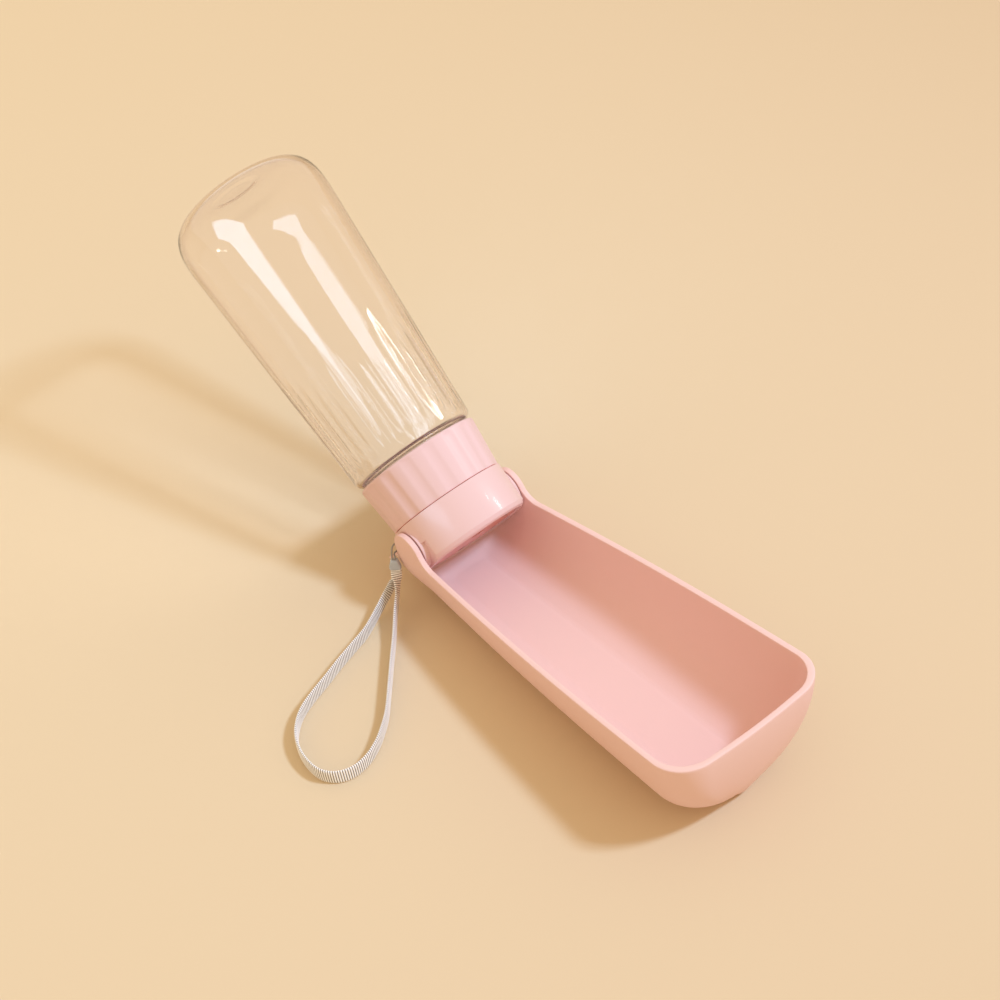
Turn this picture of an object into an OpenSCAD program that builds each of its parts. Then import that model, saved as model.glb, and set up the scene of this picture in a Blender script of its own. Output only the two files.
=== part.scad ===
// Folding travel water bottle for a dog: a drinking trough hinged to the head of a clear bottle.
// Units are millimetres. +X runs along the open trough, +Z is up, and the origin lies on the
// floor under the hinge. The trough lies on its flat back, and the bottle leans back at its stop.

/* [Trough] */
// Length of the trough from the hinge axis to its far outer edge
trough_length = 171.5; // [166:1:240]
// Outer width of the trough beside the hinge
trough_near_width = 55.8; // [55:0.2:60]
// Outer width of the trough at its far end
trough_far_width = 76; // [75:1:90]
// Depth from the rim to the flat back under the hinge
trough_near_depth = 29; // [28.6:0.2:34]
// Depth from the rim to the flat back at the far end
trough_far_depth = 46.5; // [42:0.5:60]
// Wall thickness of the trough
trough_wall = 2.5; // [1.8:0.1:3]
// Thickness of the trough's floor
trough_floor = 2.2; // [1.8:0.1:3]
// Radius of the rim's far corners
corner_radius = 15; // [10:1:22]
// How far each long side bows outward
side_bow = 1.5; // [0.5:0.1:3]
// How far the end wall leans in from rim to floor
end_lean = 16; // [12:1:20]
// Height of the hinge axis above the rim
rim_drop = 1; // [0.6:0.1:2]

/* [Hinge] */
// Radius of the round ears
ear_radius = 8.8; // [7.5:0.1:9.5]
// Half the distance between the ears' inner faces
ear_inner = 25.1; // [24.9:0.1:25.3]
// Thickness of each ear
ear_thickness = 2.7; // [2.4:0.1:3.2]
// Radius of the hinge pins
pin_radius = 3; // [2:0.1:3.6]
// Length of the pin inside the head
pin_reach = 6; // [4:0.5:8]
// Angle between the trough and the bottle when fully open
open_angle = 137.2; // [130:0.2:139]

/* [Head] */
// Radius of the head
head_radius = 25.4; // [25:0.1:25.6]
// Distance from the hinge axis to the outlet end of the head
head_end = 9.5; // [8:0.1:10]
// Distance from the hinge axis to the seam under the collar
head_top = 9.9; // [9:0.1:11]
// Wall thickness of the head
head_wall = 2.2; // [1.8:0.1:2.6]
// Radius of the water outlet
outlet_radius = 3; // [2:0.1:3.4]

/* [Collar] */
// Radius of the collar at the seam
collar_low_radius = 25; // [24.6:0.1:25.2]
// Radius of the collar at its top lip
collar_top_radius = 27; // [26:0.1:27.2]
// Height of the collar
collar_height = 21.2; // [18:0.2:24]
// Number of flutes round the collar
flutes = 16; // [10:1:24]
// Depth of each flute
flute_depth = 0.5; // [0.2:0.1:0.8]
// Turn of the collar from shut to pouring
twist_angle = 90; // [60:5:100]

/* [Bottle] */
// Radius of the bottle just above the collar
bottle_low_radius = 27.5; // [26.5:0.1:27.6]
// Largest radius of the bottle
bottle_radius = 33.6; // [31:0.1:33.6]
// Distance from the hinge axis to the widest ring of the bottle
bottle_shoulder_at = 143; // [120:1:146]
// Distance from the hinge axis to the crown of the bottle's end
bottle_end = 165; // [150:0.1:165]
// Wall thickness of the bottle
bottle_wall = 1.3; // [1:0.1:2]
// Outer radius of the bottle's neck
neck_radius = 19.3; // [18:0.1:19.5]
// Height of each thread ridge
thread_height = 0.9; // [0.5:0.1:1]

/* [Strap] */
// Width of the woven strap
strap_width = 7; // [5:0.5:7]
// Thickness of the woven strap
strap_thickness = 1.2; // [0.8:0.1:1.4]

/* [Hidden] */
$fn = 96;

// Fits and gaps
turn_gap = 0.05;      // radial running clearance of pins, hub and disc
seat_gap = 0.1;       // between faces that rest on each other
seam_gap = 0.5;       // seam between the head and the collar
pink = "#eeb7b0";
deep_pink = "#dc9a94";
clear = [0.93, 0.9, 0.95, 0.35];
silicone = "#f2f0ee";
steel = "#c9ccd0";
grey = "#a9abae";

// Hinge axis, slope of the flat back and the two working frames
back_slope = (trough_far_depth - trough_near_depth) / trough_length;
pitch = atan(back_slope);
pivot_height = (rim_drop + trough_near_depth) * cos(pitch);
lean = open_angle + pitch - 90;

module rim_frame() {
    translate([0, 0, pivot_height]) rotate([0, -pitch, 0]) children();
}

module bottle_frame() {
    translate([0, 0, pivot_height]) rotate([0, -lean, 0]) children();
}

// ---- Trough -------------------------------------------------------------------------------
// The wall is a stack of level outlines. Each outline is taken at a share of the full depth,
// so every layer is flat, and the last one is the flat strip that the trough lies on.
near_width_at = 8;                       // where the near width is measured
half_near = trough_near_width / 2;
half_far = trough_far_width / 2;
inner_near_depth = trough_near_depth - trough_floor;
inner_far_depth = trough_far_depth - trough_floor;
barrel_inner = rim_drop + inner_near_depth + 0.15;    // radius of the near end about the hinge axis
barrel_outer = barrel_inner + trough_wall;
section_cut = 0.967;                     // share of the rounded section kept above the flat
outer_power = 2.2;                       // roundness of the outer section
inner_power = 2.4;                       // roundness of the inner section
lean_power = 1.34;
plan_power = 2.6;                        // roundness of the near end seen from above
depth_shares = [0, 0.1, 0.22, 0.36, 0.5, 0.64, 0.77, 0.88, 0.95, 1];
near_steps = 7;
side_steps = 10;
corner_steps = 6;
far_steps = 2;
far_bow = 0.8;                           // how far the end wall bows out at its middle

function at_least(value, low) = value < low ? low : value;
function half_width(x) =
    half_near + (half_far - half_near) * at_least(x - near_width_at, 0) / (trough_length - near_width_at);
function bow(x, end_x) =
    x < near_width_at || x > end_x ? 0 : side_bow * sin(180 * (x - near_width_at) / (end_x - near_width_at));
function section_share(share, power) = pow(1 - pow(share * section_cut, power), 1 / power);
function end_inset(share, reach) = reach * (1 - pow(1 - pow(share, lean_power), 1 / lean_power));
function near_depth(share, depth) = rim_drop + share * depth;
function near_reach(share, depth, barrel) =
    sqrt(at_least(barrel * barrel - pow(near_depth(share, depth), 2), 4));

// One side of a level outline, from the middle of the near end to the middle of the far end
function half_outline(share, inset, depth, barrel, power, reach) =
    let (
        narrow = section_share(share, power),
        far_x = trough_length - inset - end_inset(share, reach),
        near_x = near_reach(share, depth, barrel),
        near_y = (half_width(0) - inset) * narrow,
        far_y = (half_width(far_x) - inset) * narrow,
        radius = min(corner_radius - inset * 0.6, far_y * 0.8),
        corner_x = far_x - radius,
        slant = atan((half_far - half_near) / trough_length)
    )
    concat(
        [for (i = [0 : near_steps - 1])
            let (a = 90 * i / near_steps)
            [-near_x * pow(cos(a), 2 / plan_power), near_y * pow(sin(a), 2 / plan_power)]],
        [for (i = [0 : side_steps - 1])
            let (x = corner_x * i / side_steps)
            [x, (half_width(x) + bow(x, corner_x) - inset) * narrow]],
        [for (i = [0 : corner_steps])
            let (a = (90 + slant) * (1 - i / corner_steps),
                 mid_y = (half_width(corner_x) - inset) * narrow - radius / cos(slant))
            [corner_x + radius * cos(a), mid_y + radius * sin(a)]],
        [for (i = [1 : far_steps])
            let (mid_y = (half_width(corner_x) - inset) * narrow - radius / cos(slant), part = 1 - i / far_steps)
            [far_x + far_bow * (1 - part * part), mid_y * part]]
    );

function mirrored(points) =
    concat(points, [for (i = [len(points) - 2 : -1 : 1]) [points[i][0], -points[i][1]]]);

function layer(share, inset, depth, far_depth, barrel, power, reach) =
    [for (p = mirrored(half_outline(share, inset, depth, barrel, power, reach)))
        [p[0], p[1], -rim_drop - share * (depth + (far_depth - depth) * p[0] / trough_length)]];

outer_layers = [for (s = depth_shares)
    layer(s, 0, trough_near_depth, trough_far_depth, barrel_outer, outer_power, end_lean)];
inner_layers = [for (s = depth_shares)
    layer(s, trough_wall, inner_near_depth, inner_far_depth, barrel_inner, inner_power, end_lean - 2)];
ring_size = len(outer_layers[0]);
layer_count = len(depth_shares);

half_size = ring_size / 2;

function skin(first, outward) = [
    for (j = [0 : layer_count - 2]) for (i = [0 : ring_size - 1])
        let (a = first + j * ring_size + i, b = first + j * ring_size + (i + 1) % ring_size,
             c = b + ring_size, d = a + ring_size)
        each (outward ? [[a, d, b], [b, d, c]] : [[a, b, d], [b, c, d]])];

// A level face between the two mirrored sides of an outline
function level_face(first, downward) = [
    for (i = [0 : half_size - 1])
        let (a = first + i, b = first + i + 1, c = first + (ring_size - i - 1) % ring_size,
             d = first + (ring_size - i) % ring_size)
        each concat(
            i == 0 ? [] : [downward ? [a, d, b] : [a, b, d]],
            i == half_size - 1 ? [] : [downward ? [d, c, b] : [d, b, c]])];

module trough_shell() {
    points = concat([for (l = outer_layers) each l], [for (l = inner_layers) each l]);
    inner_first = layer_count * ring_size;
    outer_last = (layer_count - 1) * ring_size;
    rim = [for (i = [0 : ring_size - 1])
        let (a = i, b = (i + 1) % ring_size, c = inner_first + b, d = inner_first + a)
        each [[a, b, d], [b, c, d]]];
    polyhedron(points, concat(skin(0, true), skin(inner_first, false), rim,
        level_face(outer_last, true), level_face(inner_first + outer_last, false)));
}

// Sweep from each ear down to the rim, as a concave arc that touches both
sweep_radius = 9;
sweep_x = sqrt(pow(ear_radius + sweep_radius, 2) - pow(sweep_radius - rim_drop, 2));
web_gap = 0.9;                           // the web stands this much further out than the ear's face
web_depth = 6;

module ear_web() {
    difference() {
        polygon([[0, 0], [sweep_x, sweep_radius - rim_drop], [sweep_x, -web_depth], [0, -web_depth]]);
        translate([sweep_x, sweep_radius - rim_drop]) circle(r = sweep_radius);
    }
}

module ear(side) {
    outer_face = ear_inner + ear_thickness;
    translate([0, side > 0 ? outer_face : -ear_inner, 0]) rotate([90, 0, 0])
        cylinder(r = ear_radius, h = ear_thickness);
    translate([0, side > 0 ? outer_face : -ear_inner - web_gap, 0]) rotate([90, 0, 0])
        linear_extrude(ear_thickness - web_gap) ear_web();
}

// Eye for the strap behind the left ear
eye_x = -9.7;
eye_z = -4.3;
eye_radius = 2.7;
eye_hole = 1.2;
eye_thickness = 1.6;
eye_out = ear_inner + ear_thickness;

// The near end is cut back behind the ears, so that the head can swing into it
module near_end_cut() {
    cut_reach = barrel_outer + 10;
    cut_width = 2 * (ear_inner + ear_thickness) + 10;
    translate([0, cut_width / 2, 0]) rotate([90, 0, 0]) linear_extrude(cut_width)
        polygon([[0, cut_reach], [0, -rim_drop], [-8, -5], [-14, -9.5], [-19.5, -15],
                 [-cut_reach, -15], [-cut_reach, cut_reach]]);
}

pin_hole_depth = ear_thickness - 0.9;

module pin_hole(side) {
    depth = pin_hole_depth;
    translate([0, side > 0 ? ear_inner + depth : -ear_inner + 1, 0]) rotate([90, 0, 0])
        cylinder(r = pin_radius, h = depth + 1);
}

module trough() color(pink) rim_frame() {
    difference() {
        union() {
            difference() {
                trough_shell();
                near_end_cut();
                translate([0, ear_inner, 0]) rotate([90, 0, 0])
                    cylinder(r = ear_radius + 0.8, h = 2 * ear_inner);
            }
            ear(1);
            ear(-1);
            translate([eye_x, -eye_out + eye_thickness, eye_z]) rotate([90, 0, 0])
                cylinder(r = eye_radius, h = eye_thickness);
        }
        for (side = [-1, 1]) pin_hole(side);
        translate([eye_x, -eye_out + eye_thickness + 1, eye_z]) rotate([90, 0, 0])
            cylinder(r = eye_hole, h = eye_thickness + 2);
    }
}

// ---- Hinge --------------------------------------------------------------------------------
boss_face = ear_inner - 0.3;             // outer face of the head's hinge bosses
boss_radius = ear_radius;
socket_radius = 5.6;                     // wall round the pin inside the head
washer_radius = 5.4;
washer_recess = 0.5;

module hinge_pin(side) {
    inner_end = boss_face - pin_reach;
    outer_end = ear_inner + pin_hole_depth;
    translate([0, side > 0 ? outer_end : -inner_end, 0]) rotate([90, 0, 0])
        cylinder(r = pin_radius, h = outer_end - inner_end);
}

module hinge_washer(side) {
    outer_face = boss_face + 0.15;
    thickness = washer_recess + 0.15;
    translate([0, side > 0 ? outer_face : -outer_face + thickness, 0]) rotate([90, 0, 0])
        difference() {
            cylinder(r = washer_radius, h = thickness);
            translate([0, 0, -1]) cylinder(r = pin_radius + turn_gap, h = thickness + 2);
        }
}

module hinge_pin_left() color(steel) rim_frame() hinge_pin(-1);
module hinge_pin_right() color(steel) rim_frame() hinge_pin(1);
module hinge_washer_left() color(silicone) bottle_frame() hinge_washer(-1);
module hinge_washer_right() color(silicone) bottle_frame() hinge_washer(1);

// ---- Head ---------------------------------------------------------------------------------
deck_thickness = 2.5;
deck_bottom = head_top - deck_thickness;
head_chamfer = 2.4;
lower_half_width = 22.4;                 // the head is narrower below its hinge bosses
head_inner = head_radius - head_wall;
hub_radius = 12;
hub_bore = 9.5;
plate_thickness = 2.6;
plate_bottom = -head_end + 0.6;
plate_top = plate_bottom + plate_thickness;
plate_radius = lower_half_width - head_wall - seat_gap;
post_radius = 2.6;
post_at = 16.9;
post_angles = [50, 180, 310];
screw_radius = 1;
screw_head_radius = 1.9;
screw_head_height = 1.2;
screw_length = 9;
port_at = 6.2;
air_hole_at = 14.2;
air_hole_radius = 1.6;
stop_at = 18.2;
stop_radius = 1;
stop_below = 2;
stop_above = 1.6;

module head_outline() {
    rotate_extrude() polygon([[0, -head_end], [head_radius - head_chamfer, -head_end],
        [head_radius - head_chamfer * 0.4, -head_end + head_chamfer * 0.35],
        [head_radius, -head_end + head_chamfer], [head_radius, head_top], [0, head_top]]);
}

module along_y(radius, half_length) {
    translate([0, half_length, 0]) rotate([90, 0, 0]) cylinder(r = radius, h = 2 * half_length);
}

module head_solid() {
    side_block = head_radius + 5;
    difference() {
        head_outline();
        for (side = [-1, 1]) {
            translate([-side_block, side > 0 ? boss_face : -boss_face - side_block, -side_block])
                cube([2 * side_block, side_block, 2 * side_block]);
            translate([-side_block, side > 0 ? lower_half_width : -lower_half_width - side_block, -side_block])
                cube([2 * side_block, side_block, side_block]);
        }
    }
    along_y(boss_radius, boss_face);
}

module head_cavity() {
    low = -head_end - 1;
    intersection() {
        translate([0, 0, low]) cylinder(r = head_inner, h = deck_bottom - low);
        translate([-head_radius, -lower_half_width + head_wall, low])
            cube([2 * head_radius, 2 * (lower_half_width - head_wall), deck_bottom - low]);
    }
}

module head_shell() color(pink) bottle_frame() {
    difference() {
        union() {
            difference() {
                head_solid();
                head_cavity();
            }
            for (side = [-1, 1])
                translate([0, side > 0 ? boss_face : -boss_face + pin_reach + 0.8, 0]) rotate([90, 0, 0])
                    cylinder(r = socket_radius, h = pin_reach + 0.8);
            for (a = post_angles)
                rotate([0, 0, a]) translate([post_at, 0, plate_top])
                    cylinder(r = post_radius, h = deck_bottom - plate_top + 0.5);
        }
        for (side = [-1, 1]) {
            translate([0, side > 0 ? boss_face + 1 : -boss_face + pin_reach + seat_gap, 0]) rotate([90, 0, 0])
                cylinder(r = pin_radius + turn_gap, h = pin_reach + seat_gap + 1);
            translate([0, side > 0 ? boss_face + 1 : -boss_face + washer_recess, 0]) rotate([90, 0, 0])
                cylinder(r = washer_radius + seat_gap, h = washer_recess + 1);
        }
        for (a = post_angles)
            rotate([0, 0, a]) translate([post_at, 0, plate_top - 1])
                cylinder(r = screw_radius, h = screw_length);
        translate([0, 0, deck_bottom - 1]) cylinder(r = hub_radius + turn_gap, h = deck_thickness + 2);
        translate([-stop_at, 0, head_top - stop_below]) cylinder(r = stop_radius, h = stop_below + 1);
    }
}

// Plate that closes the outlet end: it holds the socket for the valve and the water port
socket_wall = 2;
socket_height = 9.4;
disc_thickness = 2.4;
disc_bottom = plate_top + seat_gap;
disc_top = disc_bottom + disc_thickness;
seal_inner = outlet_radius + 0.3;
seal_outer = outlet_radius + 1.6;
seal_depth = 0.8;

module outlet_plate() color(deep_pink) bottle_frame() {
    difference() {
        union() {
            translate([0, 0, plate_bottom]) cylinder(r = plate_radius, h = plate_thickness);
            translate([0, 0, plate_bottom])
                cylinder(r = hub_radius + turn_gap + socket_wall, h = plate_thickness + socket_height);
        }
        translate([0, 0, plate_top]) cylinder(r = hub_radius + turn_gap, h = socket_height + 1);
        translate([port_at, 0, plate_bottom - 1]) cylinder(r = outlet_radius, h = plate_thickness + 2);
        translate([port_at, 0, plate_top - seal_depth]) cylinder(r = seal_outer, h = seal_depth + 1);
        for (a = post_angles) rotate([0, 0, a]) translate([post_at, 0, plate_bottom - 1]) {
            cylinder(r = screw_radius + seat_gap, h = plate_thickness + 2);
            cylinder(r = screw_head_radius + seat_gap, h = screw_head_height + 1);
        }
    }
}

module outlet_screws() color(steel) bottle_frame() {
    for (a = post_angles) rotate([0, 0, a]) translate([post_at, 0, plate_bottom]) difference() {
        union() {
            cylinder(r = screw_head_radius, h = screw_head_height);
            cylinder(r = screw_radius, h = screw_length);
        }
        translate([-1.4, -0.25, -1]) cube([2.8, 0.5, 1.5]);
        translate([-0.25, -1.4, -1]) cube([0.5, 2.8, 1.5]);
    }
}

module port_seal() color(silicone) bottle_frame()
    translate([port_at, 0, plate_top - seal_depth]) difference() {
        cylinder(r = seal_outer, h = seal_depth + seat_gap / 2);
        translate([0, 0, -1]) cylinder(r = seal_inner, h = seal_depth + 3);
    }

module stop_pin() color(steel) bottle_frame()
    translate([-stop_at, 0, head_top - stop_below]) cylinder(r = stop_radius, h = stop_below + stop_above);

// ---- Collar -------------------------------------------------------------------------------
collar_bottom = head_top + seam_gap;
collar_top = collar_bottom + collar_height;
shell_wall = 2;
core_radius = collar_low_radius - shell_wall;
web_bottom = collar_bottom + 0.2;
web_thickness = 3;
web_top = web_bottom + web_thickness;
thread_radius = neck_radius + thread_height;
socket_bore = thread_radius + 0.35;
hub_bottom = disc_top;
clip_groove = 1;
clip_at = deck_bottom - 1.1;
clip_depth = 0.9;
clip_outer = 13.6;
ring_at = 0.6;
ring_thickness = 0.8;
groove_radius = hub_radius - 2 * ring_thickness + 0.03;
gasket_thickness = 0.9;
flute_cutter = 11;                       // radius of the round cutter that makes each flute
lip_chamfer = 0.8;

module flute_cuts() {
    rise = atan((collar_top_radius - collar_low_radius) / collar_height);
    for (i = [0 : flutes - 1]) rotate([0, 0, (i + 0.5) * 360 / flutes])
        translate([collar_low_radius + flute_cutter - flute_depth, 0, collar_bottom])
            rotate([0, rise, 0]) translate([0, 0, -2])
                cylinder(r = flute_cutter, h = collar_height - lip_chamfer);
}

module collar_shell() color(pink) bottle_frame()
    difference() {
        rotate_extrude() polygon([[core_radius + turn_gap, collar_bottom], [collar_low_radius, collar_bottom],
            [collar_top_radius, collar_top - lip_chamfer], [collar_top_radius - lip_chamfer, collar_top],
            [core_radius + turn_gap, collar_top]]);
        flute_cuts();
    }

module collar_core() color(silicone) bottle_frame()
    difference() {
        union() {
            translate([0, 0, web_bottom]) cylinder(r = core_radius, h = collar_top - web_bottom - 0.3);
            translate([0, 0, hub_bottom]) cylinder(r = hub_radius, h = web_bottom - hub_bottom + 1);
        }
        translate([0, 0, web_top]) cylinder(r = socket_bore, h = collar_height);
        translate([0, 0, hub_bottom - 1]) cylinder(r = hub_bore, h = web_top - hub_bottom + 2);
        translate([0, 0, clip_at]) difference() {
            cylinder(r = hub_radius + 1, h = clip_groove);
            translate([0, 0, -1]) cylinder(r = hub_radius - clip_depth, h = clip_groove + 2);
        }
        translate([0, 0, ring_at - ring_thickness]) difference() {
            cylinder(r = hub_radius + 1, h = 2 * ring_thickness);
            translate([0, 0, -1]) cylinder(r = groove_radius, h = 2 * ring_thickness + 2);
        }
        rotate([0, 0, air_hole_turn]) translate([air_hole_at, 0, web_bottom - 1])
            cylinder(r = air_hole_radius, h = web_thickness + 2);
        rotate([0, 0, 180 - twist_angle - stop_play]) rotate_extrude(angle = twist_angle + 2 * stop_play)
            translate([stop_at - stop_radius - 0.3, web_bottom - 1])
                square([2 * stop_radius + 0.6, 1 + stop_above - 0.3]);
    }
air_hole_turn = 20;
stop_play = 5;

module valve_disc() color(silicone) bottle_frame()
    difference() {
        union() {
            translate([0, 0, disc_bottom]) cylinder(r = hub_radius, h = disc_thickness);
            translate([0, 0, disc_bottom]) cylinder(r = hub_bore - turn_gap, h = disc_thickness + 2.5);
        }
        rotate([0, 0, -twist_angle]) translate([port_at, 0, disc_bottom - 1])
            cylinder(r = outlet_radius, h = disc_thickness + 5);
    }

module hub_o_ring() color("#3b3b3d") bottle_frame()
    translate([0, 0, ring_at]) rotate_extrude()
        translate([hub_radius + turn_gap / 2 - ring_thickness, 0]) circle(r = ring_thickness - 0.03);

module retaining_ring() color(steel) bottle_frame()
    translate([0, 0, clip_at + 0.05]) difference() {
        cylinder(r = clip_outer, h = clip_groove - 0.1);
        translate([0, 0, -1]) cylinder(r = hub_radius - clip_depth + turn_gap, h = clip_groove + 2);
        translate([-20, -4, -1]) cube([20, 8, clip_groove + 2]);
    }

module air_valve() color("#8d9094") bottle_frame()
    rotate([0, 0, air_hole_turn]) translate([air_hole_at, 0, 0]) difference() {
        rotate_extrude() polygon([[0, web_bottom - 0.35], [2, web_bottom - 0.35], [2, web_bottom - 0.02],
            [air_hole_radius - 0.02, web_bottom - 0.02], [air_hole_radius - 0.02, web_top + 0.02],
            [2.1, web_top + 0.02], [2.1, web_top + 0.7], [0.9, web_top + 2.2], [0, web_top + 2.2]]);
        translate([-0.15, -1.5, web_top + 1]) cube([0.3, 3, 2]);
    }

module neck_gasket() color(deep_pink) bottle_frame()
    translate([0, 0, web_top + seat_gap / 2]) difference() {
        cylinder(r = socket_bore - seat_gap, h = gasket_thickness);
        translate([0, 0, -1]) cylinder(r = neck_radius - 2.7, h = gasket_thickness + 2);
    }

// ---- Bottle -------------------------------------------------------------------------------
neck_bottom = web_top + gasket_thickness + seat_gap;
shoulder_z = collar_top + 0.9;
shoulder_round = 3.4;
end_power = 3.4;                         // roundness of the bottle's end
neck_inner = neck_radius - 2;
crown_steps = 9;
end_height = bottle_end - bottle_shoulder_at;

function arc_points(cx, cz, radius, from, to, steps) =
    [for (i = [0 : steps]) let (a = from + (to - from) * i / steps) [cx + radius * cos(a), cz + radius * sin(a)]];
function crown(radius, height) =
    [for (i = [1 : crown_steps])
        let (a = 90 * i / crown_steps)
        [radius * pow(at_least(cos(a), 0), 2 / end_power), bottle_shoulder_at + height * pow(sin(a), 2 / end_power)]];

module bottle_profile() {
    in_round = shoulder_round - bottle_wall;
    polygon(concat(
        [[neck_inner, neck_bottom], [neck_radius, neck_bottom], [neck_radius, shoulder_z]],
        arc_points(bottle_low_radius - shoulder_round, shoulder_z + shoulder_round, shoulder_round, -90, 0, 5),
        [[bottle_radius, bottle_shoulder_at]],
        crown(bottle_radius, end_height),
        [for (i = [crown_steps : -1 : 1]) crown(bottle_radius - bottle_wall, end_height - bottle_wall)[i - 1]],
        [[bottle_radius - bottle_wall, bottle_shoulder_at]],
        arc_points(bottle_low_radius - shoulder_round, shoulder_z + shoulder_round, in_round, 0, -90, 5),
        [[neck_inner, shoulder_z + bottle_wall]]
    ));
}

module bottle() color(clear) bottle_frame() {
    rotate_extrude() bottle_profile();
    for (z = [neck_bottom + 3, neck_bottom + 7]) translate([0, 0, z])
        rotate_extrude() polygon([[neck_radius - 0.5, 0], [thread_radius, 0.5], [thread_radius, 1.1],
            [neck_radius - 0.5, 1.6]]);
}

// ---- Wrist strap --------------------------------------------------------------------------
// Thread through the eye, a flat clip, and a woven loop that stands on edge on the floor
clip_turn = 48;                          // the clip's broad side faces this way round
clip_x = -7.5;
clip_y = -29.75;
clip_base = 18.2;
clip_head = 23;
clip_top_width = 2.8;
clip_low_width = 4.8;
clip_thick = 2.6;

module strap_clip() color(grey)
    translate([clip_x, clip_y, clip_base]) rotate([0, 0, clip_turn]) rotate([90, 0, 0])
        translate([0, 0, -clip_thick / 2]) linear_extrude(clip_thick)
            polygon([[-clip_low_width / 2, 0], [clip_low_width / 2, 0], [clip_low_width / 2, 1.6],
                     [clip_top_width / 2, clip_head - clip_base], [-clip_top_width / 2, clip_head - clip_base],
                     [-clip_low_width / 2, 1.6]]);

thread_width = 0.8;
// Route of the thread: up out of the clip, through the eye, round behind it and back down
thread_route = [[-7.1, -29.4, 23], [-7.1, -29.4, 23.5], [-7.7, -29, 24.1], [-8.5, -28.6, 24.4], [-9.1, -27.9, 24.6],
                [-9.2, -27, 24.6], [-9.3, -26.2, 24.8], [-9.5, -25.75, 25.4], [-9.7, -25.65, 26.3],
                [-9.8, -25.75, 27.3], [-9.8, -26.3, 28.1], [-9.7, -27.1, 28.4], [-9.5, -28, 28.1],
                [-9.3, -28.7, 27.4], [-9, -29.2, 26.4], [-8.6, -29.7, 25.3], [-8.1, -30.1, 24.3],
                [-7.9, -30.2, 23.5], [-7.9, -30.2, 23]];

// Route of the strap: the middle of its width, from the clip round the loop and back
strap_route = [[-7.96, -29.34, 18.2], [-7.96, -29.34, 15.8], [-8.2, -30.3, 12.8], [-8.2, -33, 9.4], [-7.2, -37.4, 6.6],
               [-4.6, -44, 4.4], [0, -53, 3.8], [3, -62, 3.7], [6, -71, 3.7], [9.4, -80, 3.7], [12.6, -89, 3.7],
               [16, -96.4, 3.7], [20.4, -102, 3.7], [26, -106.4, 3.7], [33, -109.2, 3.7], [40, -110.2, 3.7],
               [46.4, -109.4, 3.7], [51.4, -105.8, 3.7], [53.8, -100, 3.7], [53.2, -93, 3.7], [50.2, -86, 3.7],
               [45.6, -79.4, 3.7], [40, -73, 3.7], [30.4, -64.4, 3.7], [20.4, -55.6, 3.8], [11.4, -47.4, 4.4],
               [3.2, -40, 6.6], [-1.8, -34.8, 9.4], [-5.2, -31.6, 12.8], [-7.04, -30.16, 15.8],
               [-7.04, -30.16, 18.2]];
// Turn of the strap's width: 0 is level across the clip, 1 is upright
strap_upright = [0, 0.1, 0.3, 0.6, 0.85, 1, 1, 1, 1, 1, 1, 1, 1, 1, 1, 1, 1, 1, 1, 1, 1, 1, 1, 1, 1, 1, 0.85, 0.6,
                 0.3, 0.1, 0];

function unit(v) = v / norm(v);
function path_way(route, i) = unit(route[min(i + 1, len(route) - 1)] - route[max(i - 1, 0)]);
function flat_ring(route, i, across, width, thickness) =
    let (
        way = path_way(route, i),
        side = unit(across - way * (across * way)),
        face = cross(way, side),
        w = width / 2,
        t = thickness / 2,
        e = min(w, t) * 0.5
    )
    [for (p = [[w, -t + e], [w, t - e], [w - e, t], [-w + e, t], [-w, t - e], [-w, -t + e], [-w + e, -t], [w - e, -t]])
        route[i] + side * p[0] + face * p[1]];

module swept(rings) {
    sides = len(rings[0]);
    last = len(rings) - 1;
    polyhedron([for (r = rings) each r], concat(
        [[for (k = [0 : sides - 1]) k]],
        [for (j = [0 : last - 1]) for (k = [0 : sides - 1])
            let (a = j * sides + k, b = j * sides + (k + 1) % sides)
            each [[a, a + sides, b], [b, a + sides, b + sides]]],
        [[for (k = [sides - 1 : -1 : 0]) last * sides + k]]));
}

module strap_thread() color(grey)
    swept([for (i = [0 : len(thread_route) - 1])
        flat_ring(thread_route, i, [1, 0.2, 0.1], thread_width, thread_width)]);

module strap_loop() color("#c4c4c6")
    swept([for (i = [0 : len(strap_route) - 1])
        let (level = i < len(strap_route) / 2 ? [cos(clip_turn), sin(clip_turn), 0] : [-cos(clip_turn), -sin(clip_turn), 0])
        flat_ring(strap_route, i, level * (1 - strap_upright[i]) + [0, 0, 1] * strap_upright[i],
                  min(strap_width, i == 0 || i == len(strap_route) - 1 ? clip_low_width - 0.6 : strap_width),
                  strap_thickness)]);

trough();
hinge_pin_left();
hinge_pin_right();
hinge_washer_left();
hinge_washer_right();
head_shell();
outlet_plate();
outlet_screws();
port_seal();
stop_pin();
collar_shell();
collar_core();
valve_disc();
hub_o_ring();
retaining_ring();
air_valve();
neck_gasket();
bottle();
strap_clip();
strap_thread();
strap_loop();
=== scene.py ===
"""Folding travel water bottle for a dog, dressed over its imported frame. Sizes are in millimetres."""

import math

import bmesh
import bpy
from mathutils import Matrix, Vector


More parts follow.
